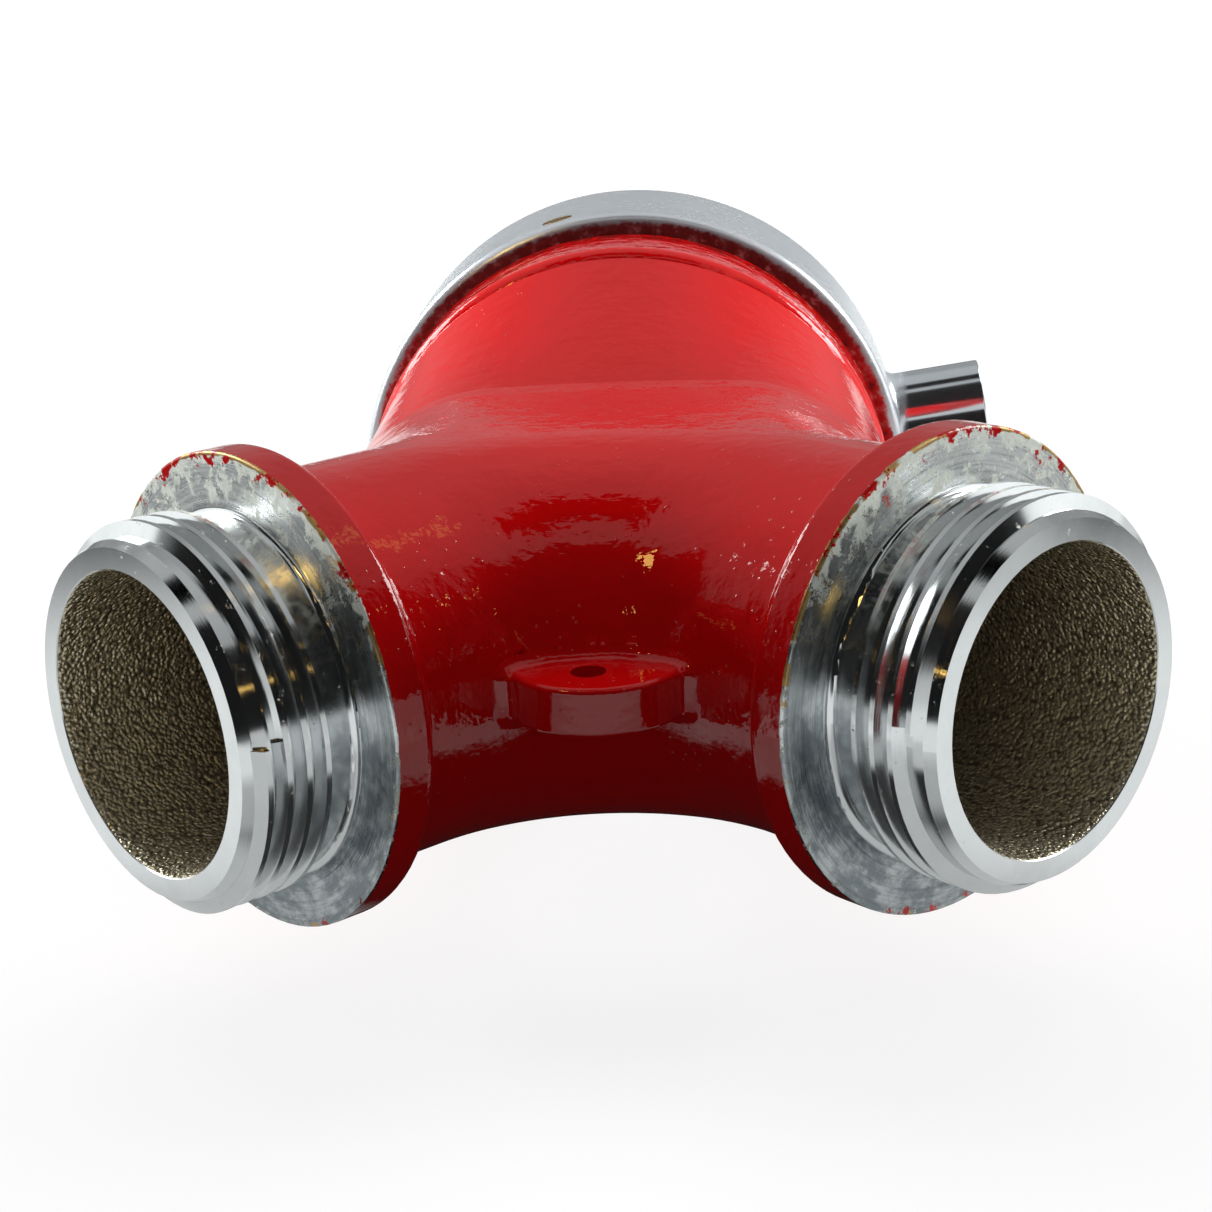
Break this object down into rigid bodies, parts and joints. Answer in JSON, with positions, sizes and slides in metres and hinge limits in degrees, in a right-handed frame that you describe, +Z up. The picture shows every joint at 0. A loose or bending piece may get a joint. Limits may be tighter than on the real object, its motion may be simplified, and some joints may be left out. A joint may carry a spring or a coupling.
{
  "type": "hose wye fitting",
  "caption": "Plain hose wye: cast brass body, painted middle, female swivel inlet, two angled male threaded outlets, chain lug in the crotch.",
  "frame": {"origin": "on the inlet axis, in the plane where the end of a male hose coupling meets the swivel gasket", "axes": "+Y along the inlet axis, out of the swivel mouth; +Z up, square to the level plane of the three axes"},
  "size_m": [0.1458, 0.1587, 0.09],
  "materials": {
    "painted_brass": "glossy red enamel, with plated noses and rough cast bores",
    "plated_brass": "bright plated",
    "steel_balls": "polished",
    "bare_brass": "worn",
    "gasket_rubber": "matte"
  },
  "bodies": {
    "wye": {"wye_body": "painted_brass", "swivel_balls": "steel_balls"},
    "swivel": {"swivel_ring": "plated_brass", "ball_plug": "bare_brass", "swivel_gasket": "gasket_rubber"}
  },
  "joints": [
    {"name": "swivel_spin", "type": "hinge", "parent": "wye", "child": "swivel", "pos_m": [0, -0.0097, 0], "axis": [0, 1, 0], "continuous": true}
  ]
}
